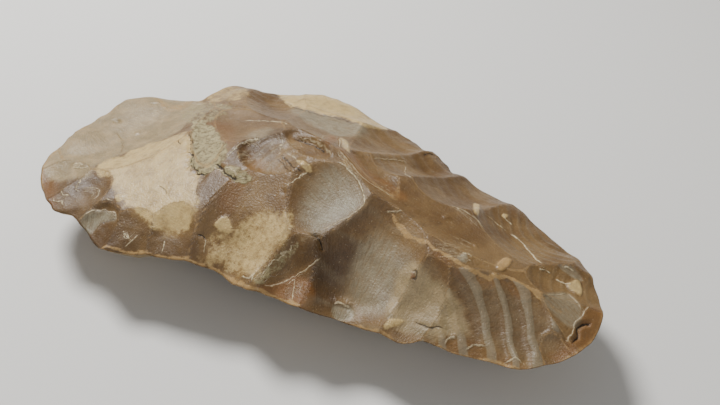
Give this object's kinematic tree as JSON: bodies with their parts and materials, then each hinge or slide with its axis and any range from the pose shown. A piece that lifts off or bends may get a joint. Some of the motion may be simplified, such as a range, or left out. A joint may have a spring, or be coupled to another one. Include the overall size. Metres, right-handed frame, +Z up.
{
  "type": "stone hand axe",
  "caption": "Knapped flint hand axe of pointed oval outline, thin at the rim and thick in the middle, lying flat with a small resting facet underneath.",
  "frame": {"origin": "middle of the axe's box in plan, on the surface that it lies on", "axes": "+X along the axe towards its point, +Y across it, +Z up through its thickness"},
  "size_m": [0.1402, 0.077, 0.0313],
  "materials": {
    "flint": "waxy, half gloss"
  },
  "bodies": {
    "root": {"hand_axe": "flint"}
  },
  "joints": []
}
